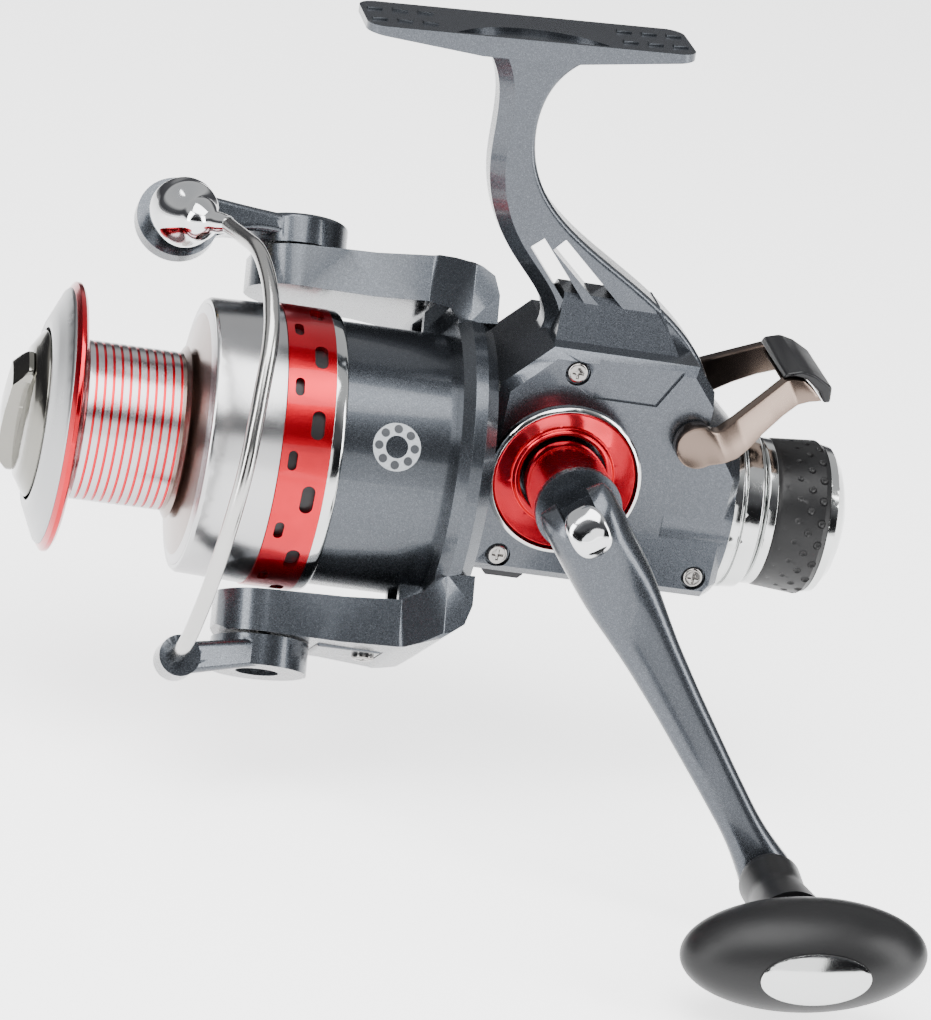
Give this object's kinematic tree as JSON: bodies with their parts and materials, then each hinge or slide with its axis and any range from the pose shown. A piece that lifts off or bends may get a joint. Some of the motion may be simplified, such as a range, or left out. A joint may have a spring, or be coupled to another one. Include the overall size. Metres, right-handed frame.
{
  "type": "spinning reel",
  "caption": "Spinning fishing reel with skirted spool, folding crank handle, flip-over bail, front drag knob, rear drag knob and free-spool lever.",
  "frame": {"origin": "centre of the foot's seat face, the face that lies in the rod's reel seat", "axes": "+X from the spool to the rear drag knob along the spool axis, +Z from the reel towards the rod, crank and handle on the -Y side; the foot is tilted 3.5 degrees about Y, rear end nearer the rod"},
  "size_m": [0.1731, 0.1533, 0.1507],
  "materials": {
    "graphite_paint": "satin metallic graphite paint on a die casting",
    "cover_paint": "satin metallic graphite paint",
    "rotor_paint": "satin metallic graphite paint",
    "bail_paint": "satin metallic graphite paint",
    "chrome_trim": "bright chrome plating",
    "bright_steel": "ground and brushed steel",
    "bail_steel": "polished stainless wire",
    "red_anodised": "glossy red anodised aluminium",
    "spool_aluminium": "polished aluminium",
    "bronze_lever": "satin bronze plated zinc",
    "black_plastic": "moulded black plastic",
    "dark_plastic": "moulded dark grey plastic",
    "grip_rubber": "soft black rubber",
    "gear_metal": "sintered gear metal",
    "brass": "machined brass",
    "washer_felt": "pressed fibre and steel discs"
  },
  "bodies": {
    "reel_body": {"housing": "graphite_paint", "side_cover": "cover_paint", "cover_screws": "chrome_trim", "rear_collar": "chrome_trim", "rear_bush": "brass", "guide_rod": "bright_steel", "pinion_bearing": "bright_steel", "one_way_clutch": "bright_steel", "drive_bearings": "bright_steel", "bore_cap": "dark_plastic", "bearing_cap": "red_anodised", "bearing_cap_rim": "chrome_trim", "rear_drag_washers": "washer_felt"},
    "rear_knob": {"rear_knob_ring": "chrome_trim", "rear_knob_grip": "grip_rubber", "rear_knob_core": "chrome_trim", "rear_knob_nut": "bright_steel", "rear_drag_spring": "bright_steel"},
    "freespool_lever": {"freespool_lever": "bronze_lever", "lever_thumb_pad": "dark_plastic", "lever_pin": "bronze_lever"},
    "reverse_switch": {"reverse_switch": "dark_plastic"},
    "crank": {"drive_gear": "gear_metal", "crank_shaft": "chrome_trim", "fold_block": "chrome_trim", "fold_pin": "bright_steel"},
    "handle": {"handle_arm": "graphite_paint", "knob_post": "bright_steel"},
    "handle_knob": {"handle_knob_neck": "black_plastic", "handle_knob_grip": "grip_rubber", "handle_knob_badge": "chrome_trim"},
    "oscillation_gear": {"oscillation_gear": "gear_metal"},
    "main_shaft": {"main_shaft": "bright_steel", "oscillation_slider": "gear_metal", "click_gear": "dark_plastic"},
    "rotor": {"rotor": "rotor_paint", "rotor_nut": "brass", "pinion_gear": "brass", "arm_covers": "rotor_paint", "arm_cover_screws": "chrome_trim", "bail_spring": "bright_steel", "bail_screws": "chrome_trim"},
    "bail": {"bail_arm": "bail_paint", "bail_holder": "bail_paint", "bail_wire": "bail_steel", "nose_cone": "chrome_trim", "roller_screw": "bright_steel"},
    "line_roller": {"line_roller": "brass"},
    "spool": {"spool_core": "spool_aluminium", "spool_lip": "red_anodised", "spool_skirt": "spool_aluminium", "spool_front_ring": "chrome_trim", "skirt_band": "red_anodised", "skirt_ring": "chrome_trim", "spool_bearing": "bright_steel", "drag_washers": "washer_felt", "drag_clip": "bright_steel", "click_pawl": "dark_plastic"},
    "front_knob": {"front_drag_knob": "chrome_trim", "front_knob_insert": "brass"}
  },
  "joints": [
    {"name": "crank_spin", "type": "hinge", "parent": "reel_body", "child": "crank", "pos_m": [0.0208, 0, -0.0821], "axis": [0, 1, 0], "continuous": true},
    {"name": "rotor_spin", "type": "hinge", "parent": "reel_body", "child": "rotor", "pos_m": [0, 0, -0.091], "axis": [1, 0, 0], "continuous": true},
    {"name": "oscillation_spin", "type": "hinge", "parent": "reel_body", "child": "oscillation_gear", "pos_m": [0.02993, 0.008, -0.09298], "axis": [0, 1, 0], "continuous": true},
    {"name": "spool_stroke", "type": "slide", "parent": "reel_body", "child": "main_shaft", "axis": [1, 0, 0], "range_m": [0, 0.014]},
    {"name": "spool_spin", "type": "hinge", "parent": "main_shaft", "child": "spool", "pos_m": [-0.06, 0, -0.091], "axis": [1, 0, 0], "continuous": true},
    {"name": "front_drag_turn", "type": "hinge", "parent": "main_shaft", "child": "front_knob", "pos_m": [-0.08, 0, -0.091], "axis": [1, 0, 0], "range_deg": [-360, 360]},
    {"name": "rear_drag_turn", "type": "hinge", "parent": "reel_body", "child": "rear_knob", "pos_m": [0.07, 0, -0.091], "axis": [1, 0, 0], "range_deg": [-180, 180]},
    {"name": "freespool_lever_tilt", "type": "hinge", "parent": "reel_body", "child": "freespool_lever", "pos_m": [0.0461, 0, -0.0725], "axis": [0, 1, 0], "range_deg": [0, 22]},
    {"name": "reverse_switch_turn", "type": "hinge", "parent": "reel_body", "child": "reverse_switch", "pos_m": [0.0173, -0.0036, -0.1055], "axis": [0, 0, 1], "range_deg": [0, 35]},
    {"name": "handle_fold", "type": "hinge", "parent": "crank", "child": "handle", "pos_m": [0.02141, -0.0466, -0.08289], "axis": [-0.7934, 0, -0.6088], "range_deg": [0, 90]},
    {"name": "handle_knob_spin", "type": "hinge", "parent": "handle", "child": "handle_knob", "pos_m": [0.06341, -0.095, -0.13764], "axis": [0, -1, 0], "continuous": true},
    {"name": "bail_flip", "type": "hinge", "parent": "rotor", "child": "bail", "pos_m": [-0.0316, 0, -0.091], "axis": [0, -0.5299, -0.848], "range_deg": [0, 110]},
    {"name": "line_roller_spin", "type": "hinge", "parent": "bail", "child": "line_roller", "pos_m": [-0.05735, 0.01393, -0.05171], "axis": [0, -0.766, 0.6428], "continuous": true}
  ],
  "couplings": [
    {"joint": "rotor_spin", "follows": "crank_spin", "ratio": -5.125},
    {"joint": "oscillation_spin", "follows": "crank_spin", "ratio": -0.5}
  ]
}
